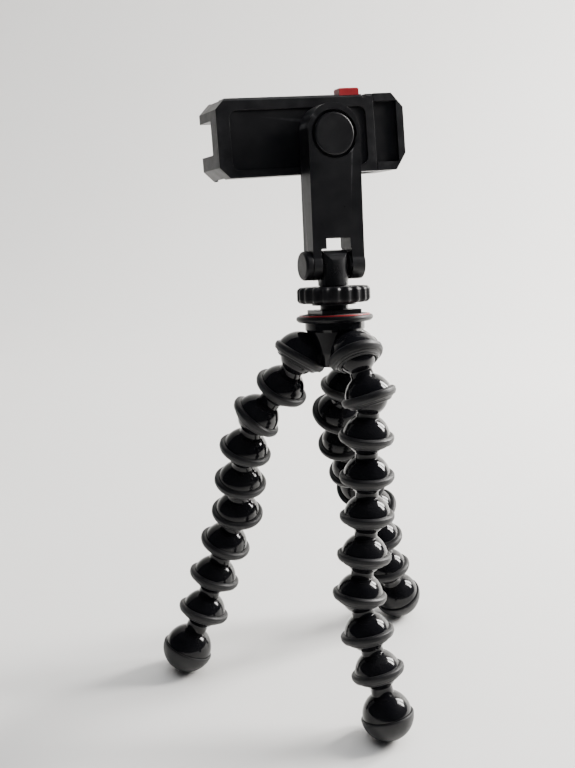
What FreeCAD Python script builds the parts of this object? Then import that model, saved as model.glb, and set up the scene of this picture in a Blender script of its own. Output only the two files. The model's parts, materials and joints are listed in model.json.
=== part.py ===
"""Phone clamp on a three-legged ball-link tripod, built from separate pieces.

Frames, all in millimetres:
  row frame   +Z up, floor at Z = 0, origin under the middle of the bounding box
  head frame  origin between the three hub sockets, Z up the tilted hub and arm, X to the
              right across the clamp, Y towards the phone side of the clamp
  link frame  origin at the centre of the link's own stud ball, the link hanging down -Z
"""
import FreeCAD, Part
import math
import os
from FreeCAD import Placement, Rotation, Vector

# ---------------------------------------------------------------- driving dimensions
FIT = 0.05             # radial running clearance of a ball, pin or thread in its hole
# ball links
BALL_R = 8.2
NECK_R = 5.0
DOME_R = 10.3
LINK_PITCH = 18.0      # stud ball centre to socket centre
LIP_ANGLE = 68.0       # half angle of the socket's mouth
GRIP_R = 12.0          # rubber grip ring
GRIP_H = 3.8
GRIP_SEAT_R = 9.6
FOOT_PITCH = 20.0
FOOT_R = 12.0
FOOT_CORE_R = 11.1
FOOT_PEG_R, FOOT_PEG = 8.0, 4.0
# hub
HUB_HEIGHT = 165.0     # socket centres above the floor
HUB_LEAN_SIDE = -3.4   # degrees, the hub's axis leaning towards -X
HUB_LEAN_BACK = 16.0   # degrees, and away towards +Y
SOCKET_RADIUS = 16.0   # socket centres from the hub axis
SOCKET_SPLAY = 32.0    # degrees, socket axes out from straight down
HOUSING_R = 11.0
COLUMN_R = 13.0
# mounting disc and its screw
DISC_R, DISC_Z, DISC_H = 16.9, 14.4, 2.9
PAD_R, PAD_H = 13.7, 0.6
SCREW_R = 3.175        # 1/4 inch screw
SCREW_REACH = 4.8
# shoe foot, washer and wheel
HEAD_YAW = 21.0        # degrees, the head turned about the hub axis
SHOE_W, SHOE_H = 18.5, 1.8
SHOE_RAIL = 2.0        # room for the rails of a shoe
STEM_R = 6.1
WASHER_R, WASHER_H = 9.7, 0.9
WHEEL_R, WHEEL_H, WHEEL_RIBS = 16.0, 7.0, 20
# arm
HINGE_Z, PIVOT_Z = 39.0, 94.5
EYE_R = 6.4
ARM_X = 1.0            # the arm's middle stands this far to the right of the stem's axis
ARM_HALF, ARM_T = 11.9, 11.0
ARM_CROWN = 1.3        # the round end's centre above the pivot
SLOT_HALF, SLOT_TOP = 5.6, 11.4
FORK_HALF, FORK_TOP = 7.0, 6.9
KNUCKLE_R, KNUCKLE_HALF = 6.6, 6.4
# clamp, heights measured from the pivot
CLAMP_ROLL = -1.9      # degrees, the clamp turned on its pivot
BODY_X0, BODY_X1 = -48.1, 24.8
BODY_Z0, BODY_Z1 = -15.8, 17.8
CORNER = 4.6
BODY_Y, BODY_T = 7.0, 8.0
COVER_T = 1.6
WALL = 2.4
JAW_DEPTH = 23.4
JAW_T = 4.2
HOOK = 1.6
JAW_X0 = BODY_X1 + 0.3     # the jaw is drawn in all the way in the rest pose
JAW_X1 = JAW_X0 + 14.1
GRIP_X = JAW_X0 + 3.0      # its face that holds the phone
NOTCH_Z0, NOTCH_Z1 = -5.2, 9.2
BUTTON_X, BUTTON_W, BUTTON_TRAVEL = 14.1, 9.3, 1.6

# Rest pose of each leg: lean from straight down and compass direction from +X, in degrees,
# from the hub to the last link, then the compass direction of the foot. The foot's own lean
# is worked out so that it stands on the floor.
LEGS = {
    "right": (300, [(27, -45), (7, -105), (6, -64), (10, -79), (12, -102), (13, -113),
                    (19, -48), (22, -42)], -46),
    "left": (180, [(27, 162), (38, 178), (17, 159), (13, 124), (12, 114), (19, 170),
                   (18, -160), (19, -149)], -157),
    "rear": (60, [(8, 152), (27, 115), (22, 58), (25, 44), (38, 66), (31, 40), (13, 30),
                  (15, 5)], 38),
}


# ---------------------------------------------------------------- helpers
def unit(v):
    return Vector(v).normalize()


def direction(lean, compass):
    a, b = math.radians(lean), math.radians(compass)
    return Vector(math.sin(a) * math.cos(b), math.sin(a) * math.sin(b), -math.cos(a))


def box(x0, x1, y0, y1, z0, z1):
    return Part.makeBox(x1 - x0, y1 - y0, z1 - z0, Vector(x0, y0, z0))


def rod(p0, p1, r):
    p0, p1 = Vector(*p0), Vector(*p1)
    return Part.makeCylinder(r, (p1 - p0).Length, p0, p1 - p0)


def tube(p0, p1, r_in, r_out):
    return rod(p0, p1, r_out).cut(rod(p0, p1, r_in))


def plate_xz(points, y0, y1):
    """A plate whose outline lies in X-Z and whose thickness runs from y0 to y1."""
    wire = Part.makePolygon([Vector(x, y0, z) for x, z in points + points[:1]])
    return Part.Face(wire).extrude(Vector(0, y1 - y0, 0))


def turned(steps):
    """Revolve a closed r-z outline about Z. A step is a point, or (middle, end) of an arc."""
    def at(p):
        return Vector(p[0], 0, p[1])

    here, edges = at(steps[0]), []
    for step in list(steps[1:]) + [steps[0]]:
        if isinstance(step[0], tuple):
            edges.append(Part.Arc(here, at(step[0]), at(step[1])).toShape())
            here = at(step[1])
        else:
            edges.append(Part.LineSegment(here, at(step)).toShape())
            here = at(step)
    solid = Part.Face(Part.Wire(edges)).revolve(Vector(0, 0, 0), Vector(0, 0, 1), 360)
    return Part.makeSolid(solid) if solid.ShapeType != "Solid" else solid


def on_circle(radius, centre_z, degrees):
    """Point of a circle about (0, centre_z), the angle counted up from the horizontal."""
    a = math.radians(degrees)
    return (radius * math.cos(a), centre_z + radius * math.sin(a))


def circle_height(radius, r):
    return math.sqrt(radius ** 2 - r ** 2)


def coil(x, y, z0, z1, radius, wire_r, turns):
    """Round-wire spring standing along +Z, as a solid."""
    pitch = (z1 - z0 - 2 * wire_r) / turns
    path = Part.makeHelix(pitch, pitch * turns, radius)
    ring = Part.Wire(Part.makeCircle(wire_r, Vector(radius, 0, 0), Vector(0, 1, 0)))
    spring = Part.Wire(path.Edges).makePipeShell([ring], True, True)
    spring.translate(Vector(x, y, z0 + wire_r))
    return spring


# ---------------------------------------------------------------- ball links
def socket_outline(z, top):
    """Lower half of a socket about (0, z), from the grip ring's seat round to the axis."""
    cavity = BALL_R + FIT
    half = GRIP_H / 2
    mouth = on_circle(cavity, z, LIP_ANGLE - 90)
    return [
        (GRIP_SEAT_R, z + half), (GRIP_SEAT_R, z - half), (9.9, z - half), (9.9, z - 2.4),
        (9.3, z - 2.7), (9.1, z - 3.2), (8.6, z - 3.6), (8.0, z - 3.6),
        (mouth[0] + 0.12, mouth[1] - 0.2), mouth,
        ((cavity, z), (0, z + cavity)), top,
    ]


def link_body():
    z = -LINK_PITCH
    grip_top = z + GRIP_H / 2
    stud = on_circle(BALL_R, 0, 0)
    neck_top = (NECK_R, -circle_height(BALL_R, NECK_R))
    dome_top = (NECK_R, z + circle_height(DOME_R, NECK_R))
    dome_edge = (circle_height(DOME_R, GRIP_H / 2), grip_top)
    outline = [(0, BALL_R), (stud, neck_top), dome_top,
               (on_circle(DOME_R, z, 40), dome_edge)]
    return turned(outline + socket_outline(z, (0, BALL_R))[:-1])


def grip_ring(z):
    h = GRIP_H / 2
    return turned([(GRIP_SEAT_R, z + h), (11.2, z + h), ((11.8, z + h - 0.25), (GRIP_R, z + h - 0.9)),
                   (GRIP_R, z - h + 1.3), ((11.8, z - h + 0.5), (11.3, z - h)), (GRIP_SEAT_R, z - h)])


def foot_core():
    z = -FOOT_PITCH
    neck_top = (NECK_R, -circle_height(BALL_R, NECK_R))
    dome_top = (NECK_R, z + circle_height(FOOT_CORE_R, NECK_R))
    return turned([(0, BALL_R), ((BALL_R, 0), neck_top), dome_top,
                   (on_circle(FOOT_CORE_R, z, 35), (FOOT_CORE_R, z)), (FOOT_PEG_R, z),
                   (FOOT_PEG_R, z - FOOT_PEG), (0, z - FOOT_PEG)])


def foot_rubber():
    z = -FOOT_PITCH
    half_ball = Part.makeSphere(FOOT_R, Vector(0, 0, z), Vector(0, 0, 1), -90, 0, 360)
    return half_ball.cut(rod((0, 0, z - FOOT_PEG), (0, 0, z), FOOT_PEG_R))


def link_placement(pivot, way):
    return Placement(pivot, Rotation(Vector(0, 0, -1), way))


# ---------------------------------------------------------------- frames and leg chains
HUB_UP = Vector(math.sin(math.radians(HUB_LEAN_SIDE)), math.sin(math.radians(HUB_LEAN_BACK)), 0)
HUB_UP.z = math.sqrt(1 - HUB_UP.Length ** 2)
HUB_X = unit(Vector(1, 0, 0) - HUB_UP * HUB_UP.x)
HUB_Y = HUB_UP.cross(HUB_X)
HUB_ORIGIN = Vector(0, 0, HUB_HEIGHT)


def hub_vector(v):
    return HUB_X * v[0] + HUB_Y * v[1] + HUB_UP * v[2]


def hub_placement():
    matrix = FreeCAD.Matrix()
    for row, name in enumerate("xyz"):
        for col, axis in enumerate((HUB_X, HUB_Y, HUB_UP, HUB_ORIGIN)):
            setattr(matrix, f"A{row + 1}{col + 1}", getattr(axis, name))
    return Placement(matrix)


def head_placement():
    return hub_placement().multiply(Placement(Vector(), Rotation(Vector(0, 0, 1), HEAD_YAW)))


def socket_axis(compass):
    """Socket centre and outward direction in the hub's own frame."""
    a, s = math.radians(compass), math.radians(SOCKET_SPLAY)
    out = Vector(math.cos(a), math.sin(a), 0)
    return out * SOCKET_RADIUS, out * math.sin(s) - Vector(0, 0, math.cos(s))


def leg_chain(name):
    """Pivot points and directions of a leg's links and foot, from the hub down."""
    compass, links, foot_compass = LEGS[name]
    centre, _ = socket_axis(compass)
    pivots, ways = [HUB_ORIGIN + hub_vector(centre)], []
    for lean, turn in links:
        ways.append(direction(lean, turn))
        pivots.append(pivots[-1] + ways[-1] * LINK_PITCH)
    foot_lean = math.degrees(math.acos((pivots[-1].z - FOOT_R) / FOOT_PITCH))
    ways.append(direction(foot_lean, foot_compass))
    return pivots, ways


# ---------------------------------------------------------------- hub group
def in_socket(shape, compass):
    centre, way = socket_axis(compass)
    placed = shape.copy()
    placed.Placement = link_placement(centre - way * LINK_PITCH, way)
    return placed


def hub_body():
    z = -LINK_PITCH
    cavity = BALL_R + FIT
    top = (0, z + HOUSING_R)
    seat = (circle_height(HOUSING_R, GRIP_H / 2), z + GRIP_H / 2)
    housing = turned([top, (on_circle(HOUSING_R, z, 45), seat)] + socket_outline(z, top)[:-1])
    depth = 5.0
    mouth_r = depth * math.tan(math.radians(LIP_ANGLE))
    mouth = Part.makeCone(0, mouth_r, depth, Vector(0, 0, z), Vector(0, 0, -1))
    hollow = Part.makeSphere(cavity, Vector(0, 0, z)).fuse(mouth)
    column = turned([(0, -5), (7, -5), (10.6, 1), (COLUMN_R - 0.8, 10.4), (COLUMN_R, 11.4),
                     (COLUMN_R, DISC_Z), (0, DISC_Z)])
    body = column.fuse([in_socket(housing, compass) for compass, _, _ in LEGS.values()])
    for compass, _, _ in LEGS.values():
        body = body.cut(in_socket(hollow, compass))
        body = body.cut(in_socket(grip_ring(z), compass))
    bore = rod((0, 0, 8), (0, 0, DISC_Z), SCREW_R)
    return body.cut(bore).cut(hex_head(0, 0, 5.6, 8.0, 5.0))


def hex_head(x, y, z0, z1, r):
    corners = [Vector(x + r * math.cos(math.radians(60 * i)), y + r * math.sin(math.radians(60 * i)), z0)
               for i in range(7)]
    return Part.Face(Part.makePolygon(corners)).extrude(Vector(0, 0, z1 - z0))


def hub_grips():
    rings = [in_socket(grip_ring(-LINK_PITCH), compass) for compass, _, _ in LEGS.values()]
    return Part.makeCompound(rings)


def mount_disc():
    z0, z1, r = DISC_Z, DISC_Z + DISC_H, DISC_R
    disc = turned([(SCREW_R, z0), (r - 2.2, z0), (r - 1.2, z0 + 0.2),
                   ((r, z0 + 1.5), (r - 0.8, z1 - 0.1)), (r - 1.0, z1), (SCREW_R, z1)])
    return disc.cut(tube((0, 0, z1 - 0.6), (0, 0, z1), PAD_R + 0.5, DISC_R - 1.4))


def red_ring():
    z1 = DISC_Z + DISC_H
    return tube((0, 0, z1 - 0.6), (0, 0, z1 + 0.4), PAD_R + 0.5, DISC_R - 1.4)


def disc_pad():
    z1 = DISC_Z + DISC_H
    return tube((0, 0, z1), (0, 0, z1 + PAD_H), SCREW_R, PAD_R)


def tripod_screw():
    tip = DISC_Z + DISC_H + PAD_H + SCREW_REACH
    shank = turned([(0, 8), (SCREW_R, 8), (SCREW_R, tip - 0.6), (SCREW_R - 0.6, tip), (0, tip)])
    return shank.fuse(hex_head(0, 0, 5.6, 8.0, 5.0))


# ---------------------------------------------------------------- shoe foot, wheel, knuckle
SHOE_Z = DISC_Z + DISC_H + PAD_H + FIT
WASHER_Z = SHOE_Z + SHOE_H + SHOE_RAIL
WHEEL_Z = WASHER_Z + WASHER_H + FIT
COLLAR_Z = WHEEL_Z + WHEEL_H + 0.5
SPIGOT_R, SPIGOT_H = 3.0, 3.0


def shoe_foot():
    h = SHOE_W / 2
    plate = box(-h, h, -h, h, SHOE_Z, SHOE_Z + SHOE_H)
    upright = [e for e in plate.Edges if abs(e.tangentAt(0).z) > 0.9]
    plate = plate.makeFillet(1.0, upright)
    stem = rod((0, 0, SHOE_Z + SHOE_H), (0, 0, COLLAR_Z), STEM_R)
    spigot = rod((0, 0, COLLAR_Z), (0, 0, COLLAR_Z + SPIGOT_H), SPIGOT_R)
    thread = rod((0, 0, SHOE_Z), (0, 0, SHOE_Z + 7), SCREW_R + FIT)
    return plate.fuse([stem, spigot]).removeSplitter().cut(thread)


def lock_washer():
    return tube((0, 0, WASHER_Z), (0, 0, WASHER_Z + WASHER_H), STEM_R + FIT, WASHER_R)


def lock_wheel():
    z0, z1 = WHEEL_Z, WHEEL_Z + WHEEL_H
    r = WHEEL_R
    rim = turned([(STEM_R + FIT, z0), (r - 1.4, z0), (r, z0 + 1.4), (r, z1 - 1.4), (r - 1.4, z1),
                  (STEM_R + FIT, z1)])
    for i in range(WHEEL_RIBS):
        a = 2 * math.pi * (i + 0.5) / WHEEL_RIBS
        groove_x, groove_y = (r + 0.7) * math.cos(a), (r + 0.7) * math.sin(a)
        rim = rim.cut(rod((groove_x, groove_y, z0 - 1), (groove_x, groove_y, z1 + 1), 1.9))
    return rim


def knuckle():
    """Round post with a rounded top and two flats where it stands between the arm's ears."""
    post = rod((0, 0, COLLAR_Z), (0, 0, HINGE_Z), KNUCKLE_R)
    top = rod((0, 0, HINGE_Z), (0, 0, HINGE_Z + KNUCKLE_R), KNUCKLE_R)
    top = top.common(rod((-KNUCKLE_R, 0, HINGE_Z), (KNUCKLE_R, 0, HINGE_Z), EYE_R))
    reach = KNUCKLE_R + 1
    flats = box(-KNUCKLE_HALF, KNUCKLE_HALF, -reach, reach, HINGE_Z - reach, HINGE_Z + reach)
    foot = rod((0, 0, COLLAR_Z), (0, 0, HINGE_Z - EYE_R - 0.4), KNUCKLE_R)
    piece = post.fuse(top).common(flats).fuse(foot)
    piece = piece.cut(rod((0, 0, COLLAR_Z), (0, 0, COLLAR_Z + SPIGOT_H), SPIGOT_R))
    return piece.cut(rod((-9, 0, HINGE_Z), (9, 0, HINGE_Z), 2.0 + FIT))


# ---------------------------------------------------------------- arm, hinge and pivot
RECESS_R, CAP_R, RECESS_D = 10.4, 9.1, 1.5


def arm():
    y, crown = ARM_T / 2, PIVOT_Z + ARM_CROWN
    plate = box(-ARM_HALF, ARM_HALF, -y, y, HINGE_Z, crown)
    plate = plate.fuse(rod((0, -y, crown), (0, y, crown), ARM_HALF))
    plate = plate.fuse(rod((-ARM_HALF, 0, HINGE_Z), (ARM_HALF, 0, HINGE_Z), EYE_R))
    reach = EYE_R + 1
    slot = box(-SLOT_HALF, SLOT_HALF, -reach, reach, HINGE_Z, HINGE_Z + SLOT_TOP)
    fork = box(-FORK_HALF - ARM_X, FORK_HALF - ARM_X, -reach, reach, HINGE_Z - reach, HINGE_Z + FORK_TOP)
    plate = plate.cut(slot).cut(fork)
    plate = plate.cut(rod((0, -y, PIVOT_Z), (0, -y + RECESS_D, PIVOT_Z), RECESS_R))
    plate = plate.cut(rod((0, -y + RECESS_D, PIVOT_Z), (0, -y + RECESS_D + 2.2, PIVOT_Z), 3.6))
    plate = plate.cut(rod((0, -y, PIVOT_Z), (0, y, PIVOT_Z), 2.0 + FIT))
    plate = plate.cut(rod((-ARM_HALF, 0, HINGE_Z), (ARM_HALF, 0, HINGE_Z), 2.0))
    nut = hex_head(0, 0, 0, 2.6, 3.9)
    nut.Placement = Placement(Vector(ARM_HALF - 2.6, 0, HINGE_Z), Rotation(Vector(0, 0, 1), Vector(1, 0, 0)))
    return plate.cut(nut)


def hinge_bolt():
    shank = rod((-ARM_HALF, 0, HINGE_Z), (ARM_HALF - 0.4, 0, HINGE_Z), 2.0)
    return shank.fuse(rod((-ARM_HALF - 1.2, 0, HINGE_Z), (-ARM_HALF, 0, HINGE_Z), 3.4))


def hinge_cap():
    cap = rod((-ARM_HALF - 3.4, 0, HINGE_Z), (-ARM_HALF, 0, HINGE_Z), EYE_R - 0.1)
    rim = [e for e in cap.Edges if e.Closed and e.CenterOfMass.x < -ARM_HALF - 3]
    cap = cap.makeChamfer(0.7, rim)
    return cap.cut(rod((-ARM_HALF - 1.2, 0, HINGE_Z), (-ARM_HALF, 0, HINGE_Z), 3.4))


def hinge_nut():
    nut = hex_head(0, 0, 0, 2.4, 3.85)
    nut.Placement = Placement(Vector(ARM_HALF - 2.6, 0, HINGE_Z), Rotation(Vector(0, 0, 1), Vector(1, 0, 0)))
    return nut.cut(rod((0, 0, HINGE_Z), (ARM_HALF, 0, HINGE_Z), 2.0))


def hinge_washers():
    rings = []
    for side in (-1, 1):
        inner, outer = side * (KNUCKLE_HALF + FIT) - ARM_X, side * FORK_HALF - ARM_X
        rings.append(tube((inner, 0, HINGE_Z), (outer, 0, HINGE_Z), 2.0, 5.0))
    return Part.makeCompound(rings)


def pivot_cap():
    y = -ARM_T / 2
    cap = rod((0, y - 0.5, PIVOT_Z), (0, y + RECESS_D, PIVOT_Z), CAP_R)
    rim = [e for e in cap.Edges if e.Closed and e.CenterOfMass.y < y]
    return cap.makeChamfer(0.5, rim)


def pivot_screw():
    y = -ARM_T / 2 + RECESS_D
    head = rod((0, y + 0.15, PIVOT_Z), (0, y + 2.0, PIVOT_Z), 3.4)
    return head.fuse(rod((0, y + 2.0, PIVOT_Z), (0, BODY_Y + 3.4, PIVOT_Z), 2.0))


def pivot_washer():
    y = ARM_T / 2
    return tube((0, y, PIVOT_Z), (0, y + 1.0, PIVOT_Z), 2.0 + FIT, 8.0)


# ---------------------------------------------------------------- clamp
def clamp_box(x0, x1, y0, y1, z0, z1):
    """A box whose heights are measured from the pivot."""
    return box(x0, x1, y0, y1, PIVOT_Z + z0, PIVOT_Z + z1)


def clamp_plate(points, y0, y1):
    return plate_xz([(x, PIVOT_Z + z) for x, z in points], y0, y1)


def fixed_end_outline(inset, x_end):
    """Outline in X-Z with the two outer corners of the fixed jaw cut off."""
    x0, z0, z1, c = BODY_X0 + inset, BODY_Z0 + inset, BODY_Z1 - inset, CORNER
    return [(x0 + c, z0), (x_end, z0), (x_end, z1), (x0 + c, z1), (x0, z1 - c), (x0, z0 + c)]


BODY_BACK = BODY_Y + BODY_T
TIP_Y = BODY_Y + JAW_DEPTH
CAVITY_Y0, CAVITY_Y1 = BODY_Y + COVER_T, BODY_BACK - 2.0
SCREW_PLACES = [(-41, -8.4), (-41, 10.4), (-12, 11), (21.2, 10.8)]
RACK_Y, TONGUE_Y = 9.9, 11.0
TONGUE_X0 = -30.0
RACK_PITCH, RACK_DEPTH = 2.0, 1.2
PAD_T = 1.0
JAW_POCKET = 1.7       # depth of the sunk panel on the jaw's front


def notch(x0, x1):
    """Gap between the two prongs of a jaw."""
    return clamp_box(x0, x1, BODY_BACK + 0.2, TIP_Y + 1, NOTCH_Z0, NOTCH_Z1)


def button_recess():
    half, floor = BUTTON_W / 2 + 0.3, BODY_Z1 - BUTTON_TRAVEL - 0.6
    return clamp_box(BUTTON_X - half, BUTTON_X + half, BODY_Y + 0.7, BODY_BACK - 0.7, floor, BODY_Z1 + 1)


def saddle():
    """Step in the top edge between the button and the open end."""
    return clamp_box(19.9, 21.8, BODY_Y - 1, BODY_BACK + 1, BODY_Z1 - 1.8, BODY_Z1 + 1)


def clamp_body():
    body = clamp_plate(fixed_end_outline(0, BODY_X1), CAVITY_Y0, BODY_BACK)
    body = body.cut(clamp_box(BODY_X0 + WALL + 1.2, BODY_X1 + 1, CAVITY_Y0 - 1, CAVITY_Y1,
                              BODY_Z0 + WALL, BODY_Z1 - WALL))
    wall = clamp_box(BODY_X0, BODY_X0 + JAW_T, BODY_BACK, TIP_Y, BODY_Z0, BODY_Z1)
    hook = clamp_box(BODY_X0, BODY_X0 + JAW_T + HOOK, TIP_Y - 2.2, TIP_Y, BODY_Z0, BODY_Z1)
    outline = clamp_plate(fixed_end_outline(0, BODY_X1), BODY_BACK, TIP_Y)
    body = body.fuse(wall.fuse(hook).common(outline))
    body = body.cut(notch(BODY_X0 - 1, BODY_X0 + JAW_T + 3)).cut(button_recess()).cut(saddle())
    body = body.cut(clamp_box(BUTTON_X - 3.3, BUTTON_X + 3.3, CAVITY_Y0, CAVITY_Y1 - 0.1,
                              BODY_Z1 - WALL - 1, BODY_Z1))
    for x, z in SCREW_PLACES:
        post = rod((x, CAVITY_Y0, PIVOT_Z + z), (x, CAVITY_Y1, PIVOT_Z + z), 2.0)
        body = body.fuse(post).cut(screw(x, z))
    return body.removeSplitter()


def screw(x, z):
    """Cover screw with its head sunk in the phone side of the body."""
    head = rod((x, BODY_BACK - 1.2, PIVOT_Z + z), (x, BODY_BACK, PIVOT_Z + z), 1.9)
    return head.fuse(rod((x, CAVITY_Y0 - 0.5, PIVOT_Z + z), (x, BODY_BACK - 1.2, PIVOT_Z + z), 0.9))


def cover_screws():
    return Part.makeCompound([screw(x, z) for x, z in SCREW_PLACES])


def clamp_cover():
    cover = clamp_plate(fixed_end_outline(0, BODY_X1), BODY_Y, CAVITY_Y0)
    recess = clamp_box(-42.2, 20.8, BODY_Y - 1, BODY_Y + 0.8, BODY_Z0 + 3.1, BODY_Z1 - 5.2)
    recess = recess.makeFillet(3.5, [e for e in recess.Edges if abs(e.tangentAt(0).y) > 0.9])
    cover = cover.cut(recess)
    top_edges = [e for e in cover.Edges if abs(e.CenterOfMass.y - BODY_Y) < 1e-6
                 and e.CenterOfMass.z - PIVOT_Z > BODY_Z1 - 0.1 and e.Length > 20]
    cover = cover.makeChamfer(1.2, top_edges)
    boss = rod((0, ARM_T / 2 + 1.0 + FIT, PIVOT_Z), (0, BODY_Y + 1, PIVOT_Z), 9.5)
    cover = cover.fuse(boss).cut(rod((0, 0, PIVOT_Z), (0, CAVITY_Y0, PIVOT_Z), 2.0))
    cover = cover.cut(button_recess()).cut(saddle())
    ledge = clamp_box(BUTTON_X + 0.3, BUTTON_X + 2.7, CAVITY_Y0, RACK_Y - 0.2, 5.6, 6.4)
    cover = cover.fuse(ledge)
    for x, z in SCREW_PLACES:
        cover = cover.cut(screw(x, z))
    return cover.removeSplitter()


def jaw_pads(x0, x1):
    """Two rubber pads, one on each prong's inner face."""
    y0, y1 = BODY_BACK + 1.2, TIP_Y - 2.4
    spans = [(BODY_Z0 + 3.0, NOTCH_Z0 - 0.6), (NOTCH_Z1 + 0.6, BODY_Z1 - 2.4)]
    return Part.makeCompound([clamp_box(x0, x1, y0, y1, z0, z1) for z0, z1 in spans])


def fixed_jaw_pads():
    x = BODY_X0 + JAW_T
    return jaw_pads(x, x + PAD_T)


def backrest_pad():
    pad = clamp_box(-38, 18, BODY_BACK, BODY_BACK + 0.8, -9, 8)
    return pad.makeFillet(3.0, [e for e in pad.Edges if abs(e.Vertexes[0].Y - e.Vertexes[1].Y) > 0.7])


def sliding_jaw():
    z0, z1 = BODY_Z0, BODY_Z1
    outline = [(JAW_X0, z0), (JAW_X1 - 4.8, z0), (JAW_X1, z0 + 7.2), (JAW_X1, z1 - 6.3), (JAW_X1 - 5.4, z1),
               (JAW_X0, z1)]
    step = clamp_box(JAW_X0 - 1, GRIP_X, BODY_BACK, TIP_Y + 1, z0 - 1, z1 + 1)
    jaw = clamp_plate(outline, BODY_Y, TIP_Y).cut(step)
    hook = clamp_box(GRIP_X - HOOK, GRIP_X + 1, TIP_Y - 2.2, TIP_Y, z0, z1)
    jaw = jaw.fuse(hook).cut(notch(GRIP_X - 3, JAW_X1 + 1))
    pocket = clamp_box(JAW_X0 - 1, JAW_X1 - 3.4, BODY_Y - 1, BODY_Y + JAW_POCKET, z0 + 3.6, z1 - 3.4)
    hollow = clamp_box(GRIP_X + 3.0, JAW_X1 - 3.0, BODY_BACK + 2.0, TIP_Y + 1, z0 + 3.0, z1 - 3.0)
    jaw = jaw.cut(pocket).cut(hollow)
    tongue = clamp_box(TONGUE_X0, JAW_X0 + 1, TONGUE_Y, TONGUE_Y + 1.8, -11, 6)
    rail = clamp_box(TONGUE_X0, JAW_X0 + 1, 9.1, TONGUE_Y, -10.8, -4.3)
    rack = clamp_box(TONGUE_X0, JAW_X0 + 1, RACK_Y, TONGUE_Y, 3.2, 6)
    count = int((JAW_X0 - 4 - TONGUE_X0) / RACK_PITCH)
    for i in range(count):
        x = TONGUE_X0 + 1 + i * RACK_PITCH
        gap = [(x, 3.1), (x + RACK_PITCH - 0.4, 3.1), (x + RACK_PITCH / 2, 3.2 + RACK_DEPTH)]
        rack = rack.cut(clamp_plate(gap, RACK_Y - 1, TONGUE_Y))
    return jaw.fuse([tongue, rail, rack]).removeSplitter()


def sliding_jaw_pads():
    return jaw_pads(GRIP_X - PAD_T, GRIP_X)


def jaw_springs():
    """Two springs between the closed end of the body and the tongue."""
    x0, x1 = BODY_X0 + WALL + 1.5, TONGUE_X0 - 0.1
    springs = []
    for z in (-3.5, 2.5):
        spring = coil(0, 0, 0, x1 - x0, 1.2, 0.3, 7)
        along_x = Rotation(Vector(0, 0, 1), Vector(1, 0, 0))
        spring.Placement = Placement(Vector(x0, 11.4, PIVOT_Z + z), along_x)
        springs.append(spring)
    return Part.makeCompound(springs)


def release_button():
    x, half = BUTTON_X, BUTTON_W / 2
    cap = clamp_box(x - half, x + half, BODY_Y + 1.0, BODY_BACK - 1.0, BODY_Z1 - 0.4, BODY_Z1 + 2.9)
    cap = cap.makeFillet(0.8, [e for e in cap.Edges if e.CenterOfMass.z > PIVOT_Z + BODY_Z1 + 2.8])
    stem = clamp_box(x - 3, x + 3, CAVITY_Y0 + 0.3, CAVITY_Y1 - 0.4, 11.2, BODY_Z1 - 0.3)
    leg = clamp_box(x - 3, x - 0.4, CAVITY_Y0 + 0.15, RACK_Y - 0.15, 0.8, 11.3)
    pawl = clamp_box(x - 3, x - 0.4, RACK_Y - 0.2, TONGUE_Y - 0.3, 0.8, 2.9)
    return cap.fuse([stem, leg, pawl]).removeSplitter()


def button_spring():
    return coil(BUTTON_X + 1.5, RACK_Y, PIVOT_Z + 6.45, PIVOT_Z + 11.15, 0.9, 0.2, 5)


def pivot_nut():
    nut = hex_head(0, 0, 0, 1.0, 3.2)
    nut.Placement = Placement(Vector(0, CAVITY_Y0, PIVOT_Z), Rotation(Vector(0, 0, 1), Vector(0, 1, 0)))
    return nut.cut(rod((0, 0, PIVOT_Z), (0, BODY_BACK, PIVOT_Z), 2.0))


# ---------------------------------------------------------------- assembly
HUB_NODES = {
    "hub_body": hub_body, "hub_grips": hub_grips, "mount_disc": mount_disc, "red_ring": red_ring,
    "disc_pad": disc_pad, "tripod_screw": tripod_screw,
}
STEM_NODES = {
    "shoe_foot": shoe_foot, "knuckle": knuckle, "lock_washer": lock_washer, "lock_wheel": lock_wheel,
}
ARM_NODES = {
    "arm": arm, "hinge_bolt": hinge_bolt, "hinge_cap": hinge_cap, "hinge_nut": hinge_nut,
    "hinge_washers": hinge_washers, "pivot_cap": pivot_cap, "pivot_washer": pivot_washer,
}
CLAMP_NODES = {
    "pivot_screw": pivot_screw, "pivot_nut": pivot_nut, "clamp_body": clamp_body,
    "clamp_cover": clamp_cover, "cover_screws": cover_screws, "fixed_jaw_pads": fixed_jaw_pads,
    "backrest_pad": backrest_pad, "jaw_springs": jaw_springs, "button_spring": button_spring,
    "sliding_jaw": sliding_jaw, "sliding_jaw_pads": sliding_jaw_pads, "release_button": release_button,
}


def arm_placement():
    return head_placement().multiply(Placement(Vector(ARM_X, 0, 0), Rotation()))


def clamp_placement():
    pivot = Vector(0, 0, PIVOT_Z)
    return arm_placement().multiply(Placement(Vector(), Rotation(Vector(0, 1, 0), CLAMP_ROLL), pivot))


def placed(shape, placement):
    moved = shape.copy()
    moved.Placement = placement.multiply(moved.Placement)
    return moved


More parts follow.
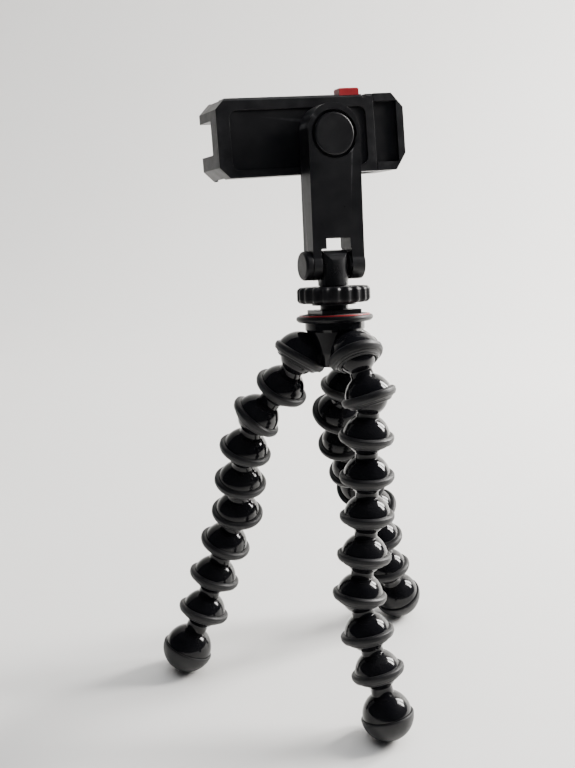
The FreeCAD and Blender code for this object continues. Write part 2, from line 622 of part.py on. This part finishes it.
def assemble():
    """Every node's shape in the row frame, and the shift that centred the whole on the origin."""
    shapes = {}
    groups = ((HUB_NODES, hub_placement()), (STEM_NODES, head_placement()), (ARM_NODES, arm_placement()),
              (CLAMP_NODES, clamp_placement()))
    for nodes, placement in groups:
        for name, make in nodes.items():
            shapes[name] = placed(make(), placement)
    link = Part.makeCompound([link_body(), grip_ring(-LINK_PITCH)])
    core, rubber = foot_core(), foot_rubber()
    for leg in LEGS:
        pivots, ways = leg_chain(leg)
        for i in range(len(pivots) - 1):
            shapes[f"{leg}_link_{i + 1}"] = placed(link, link_placement(pivots[i], ways[i]))
        last = link_placement(pivots[-1], ways[-1])
        shapes[f"{leg}_foot_core"] = placed(core, last)
        shapes[f"{leg}_foot_rubber"] = placed(rubber, last)
    whole = FreeCAD.BoundBox()
    for shape in shapes.values():
        whole.add(shape.optimalBoundingBox(False))
    shift = Vector(-whole.Center.x, -whole.Center.y, 0)
    for name in shapes:
        shapes[name] = placed(shapes[name], Placement(shift, Rotation()))
    return shapes, shift


def main():
    os.makedirs("parts", exist_ok=True)
    shapes, shift = assemble()
    for name, shape in shapes.items():
        if not shape.isValid():
            print("not valid:", name)
        shape.exportStep(f"parts/{name}.step")
    print(len(shapes), "nodes, shift", shift)


main()
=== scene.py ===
"""Looks of the phone clamp on its three-legged ball-link tripod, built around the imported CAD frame.

Sizes in the profiles are millimetres; every mesh is made in metres in its own local frame:
  link frame  origin at the stud ball's centre, the link hanging down -Z
  head frame  origin between the hub's three sockets, Z up the column, X along the arm's hinge
place() then moves a mesh from its local frame into the CAD frame.
"""
import json
import math

import bmesh
import bpy
import numpy as np
from mathutils import Matrix, Vector

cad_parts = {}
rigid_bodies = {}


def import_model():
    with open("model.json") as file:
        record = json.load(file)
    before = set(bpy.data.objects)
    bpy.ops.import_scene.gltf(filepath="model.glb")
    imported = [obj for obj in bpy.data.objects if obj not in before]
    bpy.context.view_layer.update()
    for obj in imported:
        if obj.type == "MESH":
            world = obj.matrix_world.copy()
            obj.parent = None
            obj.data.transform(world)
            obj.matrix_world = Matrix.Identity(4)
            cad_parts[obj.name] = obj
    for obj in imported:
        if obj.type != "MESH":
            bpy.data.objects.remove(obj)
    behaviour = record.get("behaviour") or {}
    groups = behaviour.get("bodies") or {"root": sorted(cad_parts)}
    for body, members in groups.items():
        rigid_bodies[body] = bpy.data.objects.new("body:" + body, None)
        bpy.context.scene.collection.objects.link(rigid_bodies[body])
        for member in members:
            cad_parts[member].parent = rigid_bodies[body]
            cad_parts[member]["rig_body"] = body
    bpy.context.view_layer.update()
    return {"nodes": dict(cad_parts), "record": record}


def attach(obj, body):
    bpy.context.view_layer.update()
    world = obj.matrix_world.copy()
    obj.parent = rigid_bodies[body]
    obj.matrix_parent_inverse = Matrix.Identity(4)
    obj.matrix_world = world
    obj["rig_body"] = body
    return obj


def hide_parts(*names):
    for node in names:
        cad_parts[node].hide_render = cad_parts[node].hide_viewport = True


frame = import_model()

MM = 0.001
RECORD = frame["record"]
JOINTS = {joint["name"]: joint for joint in RECORD["behaviour"]["joints"]}
LEGS = ("right", "left", "rear")


# ---------------------------------------------------------------- materials
# The mix node's colour sockets by number, because its names are shared by its other data types.
MIX_A, MIX_B, MIX_RESULT = 6, 7, 2
DUST = (0.32, 0.31, 0.30)


def shader(name):
    """A new material with its node tree and its Principled shader."""
    mat = bpy.data.materials.new(name)
    mat.use_nodes = True
    tree = mat.node_tree
    return mat, tree, tree.nodes["Principled BSDF"]


def node(tree, kind, **inputs):
    """A new node whose sockets, or failing that its settings, take the given values."""
    made = tree.nodes.new(kind)
    for key, value in inputs.items():
        if key in made.inputs:
            made.inputs[key].default_value = value
        else:
            setattr(made, key, value)
    return made


def noise_of(tree, coords, scale, detail=3.0, rough=0.55, stretch=None):
    """Output of a noise texture, drawn out along the axes when stretch is given."""
    source = coords
    if stretch:
        mapping = node(tree, "ShaderNodeMapping")
        mapping.inputs["Scale"].default_value = stretch
        tree.links.new(coords, mapping.inputs["Vector"])
        source = mapping.outputs["Vector"]
    made = node(tree, "ShaderNodeTexNoise", Scale=scale, Detail=detail, Roughness=rough)
    tree.links.new(source, made.inputs["Vector"])
    return made.outputs["Fac"]


def ramp(tree, value, lo, hi, out_lo, out_hi):
    """The value's range lo to hi brought to out_lo to out_hi, clamped at both ends."""
    made = node(tree, "ShaderNodeMapRange")
    made.inputs["From Min"].default_value = lo
    made.inputs["From Max"].default_value = hi
    made.inputs["To Min"].default_value = out_lo
    made.inputs["To Max"].default_value = out_hi
    tree.links.new(value, made.inputs["Value"])
    return made.outputs["Result"]


def mix(tree, factor, a, b):
    """Colour between a and b, each a colour or another node's output."""
    made = node(tree, "ShaderNodeMix", data_type="RGBA")
    tree.links.new(factor, made.inputs["Factor"])
    for socket, value in ((MIX_A, a), (MIX_B, b)):
        if isinstance(value, tuple):
            made.inputs[socket].default_value = (*value, 1.0)
        else:
            tree.links.new(value, made.inputs[socket])
    return made.outputs[MIX_RESULT]


def finish_of(name, dark, light, worn, rough, grain, grain_depth, blotch=60.0, wear=0.5, dust=0.0,
              specular=0.5, metal=0.0, coat=0.0, brushed=None):
    """One moulded or painted finish: blotchy colour, worn edges, uneven gloss and a fine grain."""
    mat, tree, bsdf = shader(name)
    coords = node(tree, "ShaderNodeTexCoord").outputs["Object"]
    cloud = noise_of(tree, coords, blotch, 4.0)
    fine = noise_of(tree, coords, grain, 2.0, 0.6, brushed)
    smear = noise_of(tree, coords, blotch * 3.1, 5.0, 0.65)
    colour = mix(tree, ramp(tree, cloud, 0.35, 0.65, 0.0, 1.0), dark, light)
    edge = node(tree, "ShaderNodeNewGeometry").outputs["Pointiness"]
    worn_at = node(tree, "ShaderNodeMath", operation="MULTIPLY")
    tree.links.new(ramp(tree, edge, 0.52, 0.60, 0.0, wear), worn_at.inputs[0])
    tree.links.new(ramp(tree, smear, 0.40, 0.62, 0.25, 1.0), worn_at.inputs[1])
    colour = mix(tree, worn_at.outputs[0], colour, worn)
    if dust:
        up = node(tree, "ShaderNodeSeparateXYZ")
        tree.links.new(node(tree, "ShaderNodeNewGeometry").outputs["Normal"], up.inputs[0])
        settled = node(tree, "ShaderNodeMath", operation="MULTIPLY")
        tree.links.new(ramp(tree, up.outputs["Z"], 0.2, 1.0, 0.0, dust), settled.inputs[0])
        tree.links.new(ramp(tree, smear, 0.45, 0.7, 0.0, 1.0), settled.inputs[1])
        colour = mix(tree, settled.outputs[0], colour, DUST)
    tree.links.new(colour, bsdf.inputs["Base Color"])
    tree.links.new(ramp(tree, smear, 0.3, 0.7, rough[0], rough[1]), bsdf.inputs["Roughness"])
    bump = node(tree, "ShaderNodeBump", Strength=1.0, Distance=grain_depth * MM)
    tree.links.new(fine, bump.inputs["Height"])
    tree.links.new(bump.outputs["Normal"], bsdf.inputs["Normal"])
    bsdf.inputs["Specular IOR Level"].default_value = specular
    bsdf.inputs["Metallic"].default_value = metal
    bsdf.inputs["Coat Weight"].default_value = coat
    bsdf.inputs["Coat Roughness"].default_value = 0.12
    return mat


GLOSS = finish_of("gloss_black_plastic", (0.003, 0.003, 0.004), (0.006, 0.006, 0.007), (0.03, 0.03, 0.035),
                  (0.06, 0.17), 900, 0.003, wear=0.15, dust=0.015, specular=0.26)
RUBBER = finish_of("grip_rubber", (0.006, 0.006, 0.007), (0.012, 0.012, 0.013), (0.04, 0.04, 0.04),
                   (0.38, 0.54), 2600, 0.015, wear=0.2, dust=0.02, specular=0.30)
PAD = finish_of("pad_rubber", (0.014, 0.014, 0.015), (0.022, 0.022, 0.023), (0.05, 0.05, 0.05),
                (0.60, 0.78), 3200, 0.03, wear=0.3)
MATTE = finish_of("matte_black_plastic", (0.004, 0.004, 0.005), (0.008, 0.008, 0.009), (0.07, 0.07, 0.075),
                  (0.32, 0.46), 4200, 0.010, wear=0.3, dust=0.01, specular=0.20)
ARM = finish_of("arm_black", (0.004, 0.004, 0.005), (0.008, 0.008, 0.009), (0.16, 0.16, 0.165),
                (0.27, 0.40), 4600, 0.008, wear=0.5, dust=0.01, specular=0.25)
DARK_METAL = finish_of("black_metal", (0.010, 0.010, 0.011), (0.018, 0.018, 0.019), (0.20, 0.20, 0.21),
                       (0.24, 0.36), 2400, 0.006, wear=0.45, metal=0.35)
RED = finish_of("red_plastic", (0.20, 0.008, 0.012), (0.30, 0.012, 0.016), (0.45, 0.06, 0.06),
                (0.28, 0.42), 3000, 0.008, wear=0.3)
STEEL = finish_of("plain_steel", (0.36, 0.36, 0.37), (0.48, 0.48, 0.49), (0.62, 0.62, 0.62),
                  (0.24, 0.36), 700, 0.006, wear=0.3, metal=1.0, brushed=(1.0, 1.0, 22.0))
SLOT_FINISH = {"gloss_black": GLOSS, "grip_rubber": RUBBER, "pad_rubber": PAD, "matte_black": MATTE,
               "arm_black": ARM, "black_metal": DARK_METAL, "red_plastic": RED, "steel": STEEL}
SLOT_OF = {part["node"]: part["material_slot"] for part in RECORD["subparts"]}


# ---------------------------------------------------------------- frames
def frame_at(origin, z_axis, x_hint):
    """Matrix of the frame at origin with this Z axis, its X as near x_hint as it can be."""
    z = Vector(z_axis).normalized()
    x = (Vector(x_hint) - z * Vector(x_hint).dot(z)).normalized()
    y = z.cross(x)
    matrix = Matrix((x, y, z)).transposed().to_4x4()
    matrix.translation = Vector(origin)
    return matrix


def joint_names(leg):
    """The leg's joints from the hub down."""
    return [f"{leg}_bend_{i + 1}" for i in range(LINKS)] + [f"{leg}_foot_bend"]


def joint_point(name):
    return Vector(JOINTS[name]["pos_m"])


HUB_CENTRE = sum((joint_point(f"{leg}_bend_1") for leg in LEGS), Vector()) / 3
HUB_UP = Vector(JOINTS["head_turn"]["axis"])
HEAD = frame_at(HUB_CENTRE, HUB_UP, JOINTS["arm_tilt"]["axis"])
SPLAY = math.radians(32.0)
LINK_PITCH, FOOT_PITCH = 18.0, 20.0


def area_centre(name):
    """Middle of a CAD node's surface, which lies on the axis of a turned node."""
    mesh = frame["nodes"][name].data
    total, weight = Vector(), 0.0
    for face in mesh.polygons:
        total += face.center * face.area
        weight += face.area
    return total / weight


def link_frame(pivot, target, turn):
    """Local frame of a link whose stud ball is at pivot and which hangs towards target."""
    return frame_at(pivot, pivot - target, (math.cos(turn), math.sin(turn), 0.1))


# ---------------------------------------------------------------- mesh helpers
def arc(r, z, radius, start, end, steps):
    """Points of a circle about (r, z) from one angle to another, in degrees up from horizontal."""
    angles = [math.radians(start + (end - start) * i / steps) for i in range(steps + 1)]
    return [(r + radius * math.cos(a), z + radius * math.sin(a)) for a in angles]


def softened(points, steps=4):
    """Closed outline in which each point with a third value, a radius, is rounded off."""
    out = []
    for i, point in enumerate(points):
        here = Vector(point[:2])
        if len(point) < 3:
            out.append(tuple(here))
            continue
        before = Vector(points[i - 1][:2]) - here
        after = Vector(points[(i + 1) % len(points)][:2]) - here
        half = before.angle(after) / 2
        reach = min(point[2] / math.tan(half), 0.48 * before.length, 0.48 * after.length)
        radius = reach * math.tan(half)
        start, end = here + before.normalized() * reach, here + after.normalized() * reach
        centre = here + (before.normalized() + after.normalized()).normalized() * (radius / math.sin(half))
        for k in range(steps + 1):
            t = k / steps
            way = (start - centre) * (1 - t) + (end - centre) * t
            out.append(tuple(centre + way.normalized() * radius))
    return out


def new_object(name, bm, finish):
    """A smooth-shaded object of one finish from a finished bmesh."""
    bmesh.ops.recalc_face_normals(bm, faces=bm.faces)
    mesh = bpy.data.meshes.new(name)
    bm.to_mesh(mesh)
    bm.free()
    mesh.materials.append(finish)
    mesh.polygons.foreach_set("use_smooth", [True] * len(mesh.polygons))
    made = bpy.data.objects.new(name, mesh)
    bpy.context.scene.collection.objects.link(made)
    return made


def lathe_mesh(name, outline, finish, segments=96, crease=32.0):
    """Turn a closed r-z outline about Z. Points on the axis become one vertex."""
    bm = bmesh.new()
    rings = []
    for r, z in outline:
        if r < 1e-4:
            rings.append([bm.verts.new((0, 0, z * MM))] * segments)
        else:
            rings.append([bm.verts.new((r * MM * math.cos(2 * math.pi * k / segments),
                                        r * MM * math.sin(2 * math.pi * k / segments), z * MM))
                          for k in range(segments)])
    for i, ring in enumerate(rings):
        follow = rings[(i + 1) % len(rings)]
        for k in range(segments):
            corners = []
            for v in (ring[k], ring[(k + 1) % segments], follow[(k + 1) % segments], follow[k]):
                if v not in corners:
                    corners.append(v)
            if len(corners) > 2:
                bm.faces.new(corners)
    made = new_object(name, bm, finish)
    made.data.set_sharp_from_angle(angle=math.radians(crease))
    return made


def place(made, matrix, body, slot, *nodes):
    """Move the mesh into the CAD frame, let it ride its body and stand in for the CAD nodes."""
    made.data = made.data.copy()
    made.data.transform(matrix)
    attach(made, body)
    if nodes:
        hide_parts(*nodes)
    return made


def again(mesh, name):
    """Another object from a mesh that is already made."""
    made = bpy.data.objects.new(name, mesh)
    bpy.context.scene.collection.objects.link(made)
    return made


SAME_FLAT = 0.99998
SOFT_EDGE = math.radians(10.0)
SOFT_SHARE = 0.4
FLAT_WIDTH = 0.45 * MM
BLEND = 0.77


def settle_normals(mesh):
    """Flat faces shade flat, and the narrow faces of a rounded edge blend into them.

    Faces whose normals agree to SAME_FLAT form one region. A region is flat if it is wider than
    FLAT_WIDTH and less than SOFT_SHARE of its rim is an edge gentler than SOFT_EDGE. Elsewhere a
    corner's normal comes from the faces round it within the angle whose cosine is BLEND.
    """
    bm = bmesh.new()
    bm.from_mesh(mesh)
    bm.normal_update()
    group, area, rim, gentle = {}, [], [], []
    for seed in bm.faces:
        if seed in group:
            continue
        group[seed] = len(area)
        stack, total = [seed], 0.0
        while stack:
            face = stack.pop()
            total += face.calc_area()
            for edge in face.edges:
                for other in edge.link_faces:
                    if other not in group and other.normal.dot(seed.normal) > SAME_FLAT:
                        group[other] = len(area)
                        stack.append(other)
        area.append(total)
        rim.append(1e-9)
        gentle.append(0.0)
    for edge in bm.edges:
        if len(edge.link_faces) != 2:
            continue
        a, b = (group[face] for face in edge.link_faces)
        if a == b:
            continue
        soft = edge.calc_face_angle() < SOFT_EDGE
        for part in (a, b):
            rim[part] += edge.calc_length()
            gentle[part] += edge.calc_length() * soft
    flat = [gentle[i] < SOFT_SHARE * rim[i] and 2 * area[i] / rim[i] > FLAT_WIDTH
            for i in range(len(area))]
    normals = []
    for face in bm.faces:
        for loop in face.loops:
            near = [other for other in loop.vert.link_faces if other.normal.dot(face.normal) > BLEND]
            flats = [other for other in near if flat[group[other]]]
            if flat[group[face]]:
                normal = face.normal.copy()
            elif flats:
                normal = max(flats, key=lambda other: area[group[other]]).normal.copy()
            else:
                normal = sum((other.normal * max(other.calc_area(), 1e-12) for other in near),
                             Vector())
            normals.append(normal.normalized() if normal.length > 0 else face.normal.copy())
    bm.free()
    mesh.normals_split_custom_set(normals)


def refined(node_name, width, segments, limit=28.0, merge=True):
    """The CAD node's own shape with its edges rounded, standing in for that node."""
    source = frame["nodes"][node_name]
    bm = bmesh.new()
    bm.from_mesh(source.data)
    bmesh.ops.remove_doubles(bm, verts=bm.verts, dist=2e-6)
    if merge:
        bmesh.ops.dissolve_limit(bm, angle_limit=math.radians(1.0), verts=bm.verts, edges=bm.edges)
    made = new_object(f"{node_name}_skin", bm, SLOT_FINISH[SLOT_OF[node_name]])
    bevel = made.modifiers.new("edges", "BEVEL")
    bevel.width = width * MM
    bevel.segments = segments
    bevel.limit_method = "ANGLE"
    bevel.angle_limit = math.radians(limit)
    bevel.use_clamp_overlap = True
    bevel.miter_outer = "MITER_ARC"
    applied = bpy.data.meshes.new_from_object(made.evaluated_get(bpy.context.evaluated_depsgraph_get()))
    made.modifiers.clear()
    made.data = applied
    settle_normals(applied)
    return place(made, Matrix.Identity(4), source["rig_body"], SLOT_OF[node_name], node_name)


# ---------------------------------------------------------------- ball links and feet
BALL_R, NECK_R, DOME_R, CORE_R, FOOT_R = 8.2, 5.0, 10.3, 11.1, 12.0
CAVITY_R = BALL_R + 0.05
LINKS = 8
AROUND = 96
GRIP_CREASE = 50.0
LINK_TURN = 1.7


def angle_on(radius, r):
    """Degrees up from the equator at which a circle of this radius is r from the axis."""
    return math.degrees(math.acos(r / radius))


def stud(neck_end):
    """Stud ball and neck that a link and a foot share, down to neck_end below the ball's centre."""
    ball = arc(0, 0, BALL_R, 90, -angle_on(BALL_R, NECK_R + 0.25), 26)
    neck = [(NECK_R, -6.6), (NECK_R - 0.05, -6.8), (NECK_R, -neck_end), (NECK_R + 0.08, -neck_end - 0.25)]
    return ball + neck


def grip_outline(z):
    """Rubber grip with its stepped skirt about a socket centre at height z."""
    return softened([
        (9.62, z + 1.6), (10.05, z + 1.9, 0.1), (11.0, z + 1.9, 0.5), (12.0, z + 1.25, 0.8),
        (12.0, z - 0.35, 0.8), (11.25, z - 1.75, 0.5), (10.3, z - 1.9, 0.1), (9.95, z - 2.38, 0.15),
        (9.4, z - 2.6, 0.1), (9.2, z - 3.15, 0.2), (8.7, z - 3.4, 0.1), (8.5, z - 3.6, 0.08),
        (7.95, z - 3.58, 0.1), (7.76, z - 3.25), (8.6, z - 2.2), (9.35, z - 1.0)])


def shell_outline():
    """Moulded link: stud ball, neck, dome and the socket's cavity."""
    z = -LINK_PITCH
    dome = arc(0, z, DOME_R, angle_on(DOME_R, NECK_R + 0.2), math.degrees(math.asin(1.8 / DOME_R)), 22)
    under = [(9.5, z + 1.6), (9.2, z - 1.1), (8.45, z - 2.3), (7.72, z - 3.15)]
    cavity = arc(0, z, CAVITY_R, -21, 90, 18)
    return stud(8.75) + dome + under + cavity


def core_outline():
    """Moulded core of a foot: stud ball, neck and dome."""
    z = -FOOT_PITCH
    dome = arc(0, z, CORE_R, angle_on(CORE_R, NECK_R + 0.2), -2.0, 26)
    return stud(9.85) + dome + [(8.0, z - 0.8), (0.0, z - 0.8)]


def boot_outline():
    """Round rubber boot of a foot, with its lip against the core."""
    z = -FOOT_PITCH
    lip = softened([(11.0, z - 0.9), (11.12, z - 0.05, 0.1), (11.75, z - 0.02, 0.25), (11.98, z - 0.5)])
    bowl = arc(0, z, FOOT_R, -3.4, -90, 30)
    return lip + bowl + [(0.0, z - 9.0), (7.0, z - 6.0)]


SHELL = lathe_mesh("right_link_1_shell", shell_outline(), GLOSS, AROUND)
GRIP = lathe_mesh("right_link_1_grip", grip_outline(-LINK_PITCH), RUBBER, AROUND, GRIP_CREASE)
CORE = lathe_mesh("right_foot_dome", core_outline(), GLOSS, AROUND)
BOOT = lathe_mesh("right_foot_boot", boot_outline(), RUBBER, AROUND, GRIP_CREASE)
SHELL_MESH, GRIP_MESH, CORE_MESH, BOOT_MESH = SHELL.data, GRIP.data, CORE.data, BOOT.data


def build_legs():
    """Eight links and a foot per leg, each link turned a little further about its own axis."""
    count = 0
    for leg in LEGS:
        points = [joint_point(name) for name in joint_names(leg)]
        for i in range(LINKS):
            matrix = link_frame(points[i], points[i + 1], LINK_TURN * count)
            first = leg == "right" and i == 0
            shell = SHELL if first else again(SHELL_MESH, f"{leg}_link_{i + 1}_shell")
            grip = GRIP if first else again(GRIP_MESH, f"{leg}_link_{i + 1}_grip")
            place(shell, matrix, f"{leg}_{i + 1}", "gloss_black", f"{leg}_link_{i + 1}")
            place(grip, matrix, f"{leg}_{i + 1}", "grip_rubber")
            count += 1
        matrix = link_frame(points[LINKS], area_centre(f"{leg}_foot_core"), LINK_TURN * count)
        core = CORE if leg == "right" else again(CORE_MESH, f"{leg}_foot_dome")
        boot = BOOT if leg == "right" else again(BOOT_MESH, f"{leg}_foot_boot")
        place(core, matrix, f"{leg}_foot", "gloss_black", f"{leg}_foot_core")
        place(boot, matrix, f"{leg}_foot", "grip_rubber", f"{leg}_foot_rubber")


# ---------------------------------------------------------------- hub
DISC_AROUND, DISC_CREASE = 128, 40.0


def build_hub():
    """Rubber rings on the hub's sockets, then the mounting disc with its red ring and pad."""
    for leg in LEGS:
        centre = joint_point(f"{leg}_bend_1")
        out = (centre - HUB_CENTRE).normalized()
        way = out * math.sin(SPLAY) - HUB_UP * math.cos(SPLAY)
        matrix = frame_at(centre - way * LINK_PITCH * MM, -way, out)
        grip = again(GRIP_MESH, f"hub_grip_{leg}")
        place(grip, matrix, "hub", "grip_rubber", *(("hub_grips",) if leg == "right" else ()))
    disc = lathe_mesh("mount_disc_skin", softened([
        (3.3, 14.4), (14.3, 14.4, 0.5), (15.7, 14.65, 0.4), (16.85, 15.7, 0.9), (16.5, 17.0, 0.5),
        (15.75, 17.3, 0.25), (15.5, 16.7), (14.2, 16.7), (14.05, 17.28, 0.15), (3.3, 17.28)], 5),
        MATTE, DISC_AROUND, DISC_CREASE)
    place(disc, HEAD, "hub", "matte_black", "mount_disc")
    ring = lathe_mesh("red_ring_skin", softened([
        (14.25, 16.75), (15.45, 16.75), (15.45, 17.7, 0.3), (14.25, 17.7, 0.3)], 5),
        RED, DISC_AROUND, DISC_CREASE)
    place(ring, HEAD, "hub", "red_plastic", "red_ring")
    pad = lathe_mesh("disc_pad_skin", softened([
        (3.25, 17.3), (13.68, 17.3), (13.68, 17.9, 0.25), (3.25, 17.9, 0.1)], 4),
        PAD, DISC_AROUND, DISC_CREASE)
    place(pad, HEAD, "hub", "pad_rubber", "disc_pad")


# ---------------------------------------------------------------- locking wheel, stem and washer
WHEEL_Z0, WHEEL_Z1, WHEEL_R, STEM_R = 22.7, 29.7, 16.0, 6.15
RIBS, STEPS_PER_RIB = 20, 18
GROOVE_AT, GROOVE_R = 16.7, 1.9
FACE_R = 14.3


def wheel_radius(angle):
    """Rim radius of the ribbed wheel, with its grooves softened."""
    pitch = 2 * math.pi / RIBS
    off = (angle % pitch) - pitch / 2
    side = GROOVE_AT * math.sin(off)
    rim = WHEEL_R - 0.05
    if abs(side) >= GROOVE_R:
        return rim
    return min(rim, GROOVE_AT * math.cos(off) - math.sqrt(GROOVE_R ** 2 - side ** 2))


def build_wheel():
    """Ribbed locking wheel, lofted through rings from the stem up and round the rim."""
    steps = RIBS * STEPS_PER_RIB
    angles = [2 * math.pi * k / steps for k in range(steps)]
    rim = np.array([wheel_radius(a) for a in angles])
    for _ in range(3):
        rim = (np.roll(rim, 1) + 2 * rim + np.roll(rim, -1)) / 4
    under = [(STEM_R, WHEEL_Z0 + 0.02), (9.0, WHEEL_Z0 + 0.02), (9.4, WHEEL_Z0 + 0.5),
             (12.6, WHEEL_Z0 + 0.5), (13.0, WHEEL_Z0 + 0.02)]
    over = [(13.2, WHEEL_Z1 - 0.02), (12.9, WHEEL_Z1 - 0.35), (8.6, WHEEL_Z1 - 0.45),
            (8.3, WHEEL_Z1 - 0.05), (STEM_R + 0.2, WHEEL_Z1 - 0.05), (STEM_R, WHEEL_Z1 - 0.25)]
    side = [(1.25, 0.12), (0.75, 0.42), (0.3, 0.85), (0.06, 1.3), (0.0, 1.7)]
    bm = bmesh.new()
    rings = []

    def ring(radii, z):
        rings.append([bm.verts.new((r * MM * math.cos(a), r * MM * math.sin(a), z * MM))
                      for r, a in zip(radii, angles)])

    for r, z in under:
        ring(np.full(steps, r), z)
    ring(np.minimum(rim - 1.4, FACE_R), WHEEL_Z0 + 0.02)
    for inset, rise in side:
        ring(rim - inset, WHEEL_Z0 + rise)
    for inset, rise in reversed(side):
        ring(rim - inset, WHEEL_Z1 - rise)
    ring(np.minimum(rim - 1.45, FACE_R), WHEEL_Z1 - 0.02)
    for r, z in over:
        ring(np.full(steps, r), z)
    for i in range(len(rings)):
        a, b = rings[i], rings[(i + 1) % len(rings)]
        for k in range(steps):
            j = (k + 1) % steps
            bm.faces.new((a[k], a[j], b[j], b[k]))
    made = new_object("lock_wheel_skin", bm, MATTE)
    made.data.set_sharp_from_angle(angle=math.radians(40.0))
    place(made, HEAD, "wheel", "matte_black", "lock_wheel")


# ---------------------------------------------------------------- arm, knuckle and clamp
EDGE_WIDTHS = {"shoe_foot": 0.25, "lock_washer": 0.2, "knuckle": 0.3, "arm": 0.35, "hinge_cap": 0.5,
               "pivot_cap": 0.25, "pivot_washer": 0.2, "clamp_body": 0.4, "clamp_cover": 0.3,
               "sliding_jaw": 0.35, "release_button": 0.3, "backrest_pad": 0.25,
               "fixed_jaw_pads": 0.25, "sliding_jaw_pads": 0.25}


def build_head():
    """The shaped pieces above the wheel, each with its edges rounded by its own width."""
    for name, width in EDGE_WIDTHS.items():
        refined(name, width, 4 if name == "hinge_cap" else 3, merge=name != "arm")


def finish_cad_nodes():
    """The remaining CAD nodes keep their shape and get their slot's finish."""
    for name, made in frame["nodes"].items():
        made.data.materials.clear()
        made.data.materials.append(SLOT_FINISH[SLOT_OF[name]])


# ---------------------------------------------------------------- room, light and camera
def build_room():
    """Pale floor that curves up into the wall behind."""
    bm = bmesh.new()
    back, rise, depth, bend, turns = 0.75, 1.6, 2.4, 0.35, 24
    curve = [(-depth, 0.0), (back - bend, 0.0)]
    curve += [(back - bend + bend * math.sin(t), bend - bend * math.cos(t))
              for t in [math.pi / 2 * i / turns for i in range(1, turns + 1)]]
    curve.append((back, rise))
    rows = []
    for y, z in curve:
        rows.append([bm.verts.new((x, y, z)) for x in (-2.4, -0.8, 0.8, 2.4)])
    for a, b in zip(rows, rows[1:]):
        for k in range(3):
            bm.faces.new((a[k], a[k + 1], b[k + 1], b[k]))
    mat, tree, bsdf = shader("pale_floor")
    coords = node(tree, "ShaderNodeTexCoord").outputs["Object"]
    cloud = noise_of(tree, coords, 3.0, 3.0)
    tree.links.new(mix(tree, cloud, (0.70, 0.69, 0.67), (0.76, 0.75, 0.73)), bsdf.inputs["Base Color"])
    tree.links.new(ramp(tree, noise_of(tree, coords, 40.0), 0.3, 0.7, 0.5, 0.62), bsdf.inputs["Roughness"])
    floor = new_object("floor", bm, mat)


def area_light(name, place_at, target, size, power, tint=(1, 1, 1), mirrored=True):
    """A rectangular lamp in metres and watts; an unmirrored one leaves no reflection."""
    data = bpy.data.lights.new(name, "AREA")
    data.shape = "RECTANGLE"
    data.size, data.size_y = size
    data.energy = power
    data.color = tint
    made = bpy.data.objects.new(name, data)
    made.location = place_at
    made.rotation_mode = "QUATERNION"
    made.rotation_quaternion = (Vector(target) - Vector(place_at)).to_track_quat("-Z", "Y")
    made.visible_glossy = mirrored
    bpy.context.scene.collection.objects.link(made)


def build_light():
    """A window of two panes from the right, a soft sky and a wash on the wall."""
    middle = Vector((0, 0, 0.15))
    towards = Vector((0.81, 0.34, 0.47)) * 1.15
    across = Vector((-0.39, 0.92, 0.0)) * 0.15
    for name, side in (("window_left", -1), ("window_right", 1)):
        area_light(name, middle + towards + across * side, middle, (0.20, 0.60), 26.0, (1.0, 0.98, 0.95))
    area_light("sky", (-0.1, -0.1, 1.6), middle, (1.8, 1.4), 20.0, (0.95, 0.97, 1.0), False)
    area_light("wall_wash", (0.4, 0.2, 0.9), (0, 0.75, 0.5), (0.5, 0.5), 4.0, (1, 1, 1), False)
    world = bpy.context.scene.world or bpy.data.worlds.new("room")
    bpy.context.scene.world = world
    world.use_nodes = True
    background = world.node_tree.nodes["Background"]
    background.inputs["Color"].default_value = (0.80, 0.86, 1.0, 1.0)
    background.inputs["Strength"].default_value = 0.06


def build_camera():
    """The camera above and in front, looking down at the clamp side of the arm."""
    data = bpy.data.cameras.new("camera")
    data.lens, data.sensor_fit = 60.0, "AUTO"
    data.sensor_width = 36.0
    data.clip_start, data.clip_end = 0.01, 20.0
    made = bpy.data.objects.new("camera", data)
    pitch, roll = math.radians(21.7), math.radians(0.9)
    forward = Vector((0, math.cos(pitch), -math.sin(pitch)))
    up = Vector((0, math.sin(pitch), math.cos(pitch)))
    right = Vector((math.cos(roll), 0, 0)) + up * math.sin(roll)
    matrix = Matrix((right, right.cross(forward), -forward)).transposed().to_4x4()
    matrix.translation = HUB_CENTRE + Vector((-0.02096, -0.5230, 0.194))
    made.matrix_world = matrix
    bpy.context.scene.collection.objects.link(made)
    bpy.context.scene.camera = made


finish_cad_nodes()
build_legs()
build_hub()
build_wheel()
build_head()
build_room()
build_light()
build_camera()
